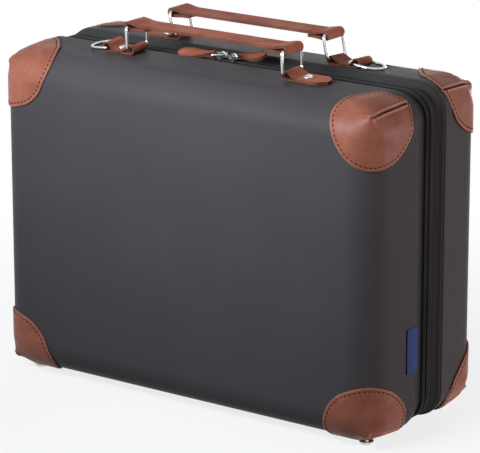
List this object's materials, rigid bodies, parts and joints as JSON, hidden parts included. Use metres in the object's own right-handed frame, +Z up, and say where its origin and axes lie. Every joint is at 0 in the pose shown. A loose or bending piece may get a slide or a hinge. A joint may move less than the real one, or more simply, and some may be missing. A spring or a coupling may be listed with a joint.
{
  "type": "briefcase",
  "caption": "Upright moulded case whose halves fold open on a fabric hinge, with leather corners, strap handles on rings and a zip.",
  "frame": {"origin": "on the ground, under the middle of the standing case", "axes": "+X to the right along the width as seen from the front, -Y to the front, +Z up"},
  "size_m": [0.3892, 0.1694, 0.3184],
  "materials": {
    "shell": "fine matte grain",
    "leather": "smooth, lightly waxed",
    "webbing": "woven",
    "zip_coil": "satin nylon",
    "chrome": "polished",
    "foot": "satin",
    "lining": "woven",
    "tag": "woven, plain"
  },
  "bodies": {
    "front_half": {"front_shell": "shell", "front_lining": "lining", "front_rim_binding": "webbing", "front_zip_tape": "webbing", "front_zip_teeth": "zip_coil", "front_hinge_strip": "webbing", "corner_front_top_left": "leather", "corner_front_bottom_left": "leather", "foot_front_left": "foot", "foot_washer_front_left": "chrome", "handle_tab_front_left": "leather", "rivet_front_left": "chrome", "rivet_washer_front_left": "chrome", "corner_front_top_right": "leather", "corner_front_bottom_right": "leather", "foot_front_right": "foot", "foot_washer_front_right": "chrome", "handle_tab_front_right": "leather", "rivet_front_right": "chrome", "rivet_washer_front_right": "chrome", "side_tag": "tag"},
    "ring_front_left": {"handle_ring_front_left": "chrome"},
    "ring_front_right": {"handle_ring_front_right": "chrome"},
    "handle_front": {"handle_strap_front": "leather"},
    "dring_front": {"d_ring_front": "chrome"},
    "rear_half": {"rear_shell": "shell", "rear_lining": "lining", "rear_rim_binding": "webbing", "rear_zip_tape": "webbing", "rear_zip_teeth": "zip_coil", "rear_hinge_strip": "webbing", "corner_rear_top_left": "leather", "corner_rear_bottom_left": "leather", "foot_rear_left": "foot", "foot_washer_rear_left": "chrome", "handle_tab_rear_left": "leather", "rivet_rear_left": "chrome", "rivet_washer_rear_left": "chrome", "corner_rear_top_right": "leather", "corner_rear_bottom_right": "leather", "foot_rear_right": "foot", "foot_washer_rear_right": "chrome", "handle_tab_rear_right": "leather", "rivet_rear_right": "chrome", "rivet_washer_rear_right": "chrome"},
    "ring_rear_left": {"handle_ring_rear_left": "chrome"},
    "ring_rear_right": {"handle_ring_rear_right": "chrome"},
    "handle_rear": {"handle_strap_rear": "leather"},
    "dring_rear": {"d_ring_rear": "chrome"},
    "hinge": {"hinge_band": "webbing"},
    "slider_left": {"zip_slider_left": "chrome"},
    "link_left": {"pull_link_left": "chrome"},
    "pull_left": {"leather_pull_left": "leather"},
    "slider_right": {"zip_slider_right": "chrome"},
    "link_right": {"pull_link_right": "chrome"},
    "pull_right": {"leather_pull_right": "leather"}
  },
  "joints": [
    {"name": "hinge_fold_front", "type": "hinge", "parent": "front_half", "child": "hinge", "pos_m": [0, -0.0195, 0.0032], "axis": [-1, 0, 0], "range_deg": [0, 90]},
    {"name": "hinge_fold_rear", "type": "hinge", "parent": "hinge", "child": "rear_half", "pos_m": [0, 0.0195, 0.0032], "axis": [-1, 0, 0], "range_deg": [0, 90]},
    {"name": "handle_swing_front", "type": "hinge", "parent": "front_half", "child": "ring_front_left", "pos_m": [-0.0788, -0.03229, 0.29294], "axis": [0, 0.9982, 0.0602], "range_deg": [-62, 70]},
    {"name": "strap_pivot_front", "type": "hinge", "parent": "ring_front_left", "child": "handle_front", "pos_m": [-0.0788, -0.0335, 0.3129], "axis": [0, 0.9982, 0.0602], "range_deg": [-70, 62]},
    {"name": "far_ring_swing_front", "type": "hinge", "parent": "front_half", "child": "ring_front_right", "pos_m": [0.0788, -0.03229, 0.29294], "axis": [0, 0.9982, 0.0602], "range_deg": [-62, 70]},
    {"name": "dring_lift_front", "type": "hinge", "parent": "front_half", "child": "dring_front", "pos_m": [-0.1033, -0.03223, 0.29184], "axis": [0, 0.9982, 0.0602], "range_deg": [0, 125]},
    {"name": "handle_swing_rear", "type": "hinge", "parent": "rear_half", "child": "ring_rear_right", "pos_m": [0.0788, 0.03229, 0.29294], "axis": [0, -0.9982, 0.0602], "range_deg": [-76, 56]},
    {"name": "strap_pivot_rear", "type": "hinge", "parent": "ring_rear_right", "child": "handle_rear", "pos_m": [0.07396, 0.03346, 0.31231], "axis": [0, -0.9982, 0.0602], "range_deg": [-56, 76]},
    {"name": "far_ring_swing_rear", "type": "hinge", "parent": "rear_half", "child": "ring_rear_left", "pos_m": [-0.0788, 0.03229, 0.29294], "axis": [0, -0.9982, 0.0602], "range_deg": [-76, 56]},
    {"name": "dring_lift_rear", "type": "hinge", "parent": "rear_half", "child": "dring_rear", "pos_m": [0.1033, 0.03223, 0.29184], "axis": [0, -0.9982, 0.0602], "range_deg": [0, 125]},
    {"name": "slider_run_left", "type": "slide", "parent": "front_half", "child": "slider_left", "axis": [1, 0, 0], "range_m": [-0.13, 0]},
    {"name": "link_lift_left", "type": "hinge", "parent": "slider_left", "child": "link_left", "pos_m": [-0.0132, 0, 0.28947], "axis": [-0.2672, 0.9636, 0], "range_deg": [0, 88]},
    {"name": "pull_fold_left", "type": "hinge", "parent": "link_left", "child": "pull_left", "pos_m": [-0.02206, -0.00246, 0.28915], "axis": [-0.2672, 0.9636, 0], "range_deg": [0, 70]},
    {"name": "slider_run_right", "type": "slide", "parent": "front_half", "child": "slider_right", "axis": [1, 0, 0], "range_m": [0, 0.13]},
    {"name": "link_lift_right", "type": "hinge", "parent": "slider_right", "child": "link_right", "pos_m": [-0.0018, 0, 0.28947], "axis": [-0.2672, -0.9636, 0], "range_deg": [-12, 76]},
    {"name": "pull_fold_right", "type": "hinge", "parent": "link_right", "child": "pull_right", "pos_m": [0.00693, -0.00242, 0.29107], "axis": [-0.2672, -0.9636, 0], "range_deg": [0, 70]}
  ],
  "couplings": [
    {"joint": "hinge_fold_rear", "follows": "hinge_fold_front", "ratio": 1},
    {"joint": "strap_pivot_front", "follows": "handle_swing_front", "ratio": -1},
    {"joint": "far_ring_swing_front", "follows": "handle_swing_front", "ratio": 1},
    {"joint": "strap_pivot_rear", "follows": "handle_swing_rear", "ratio": -1},
    {"joint": "far_ring_swing_rear", "follows": "handle_swing_rear", "ratio": 1}
  ]
}
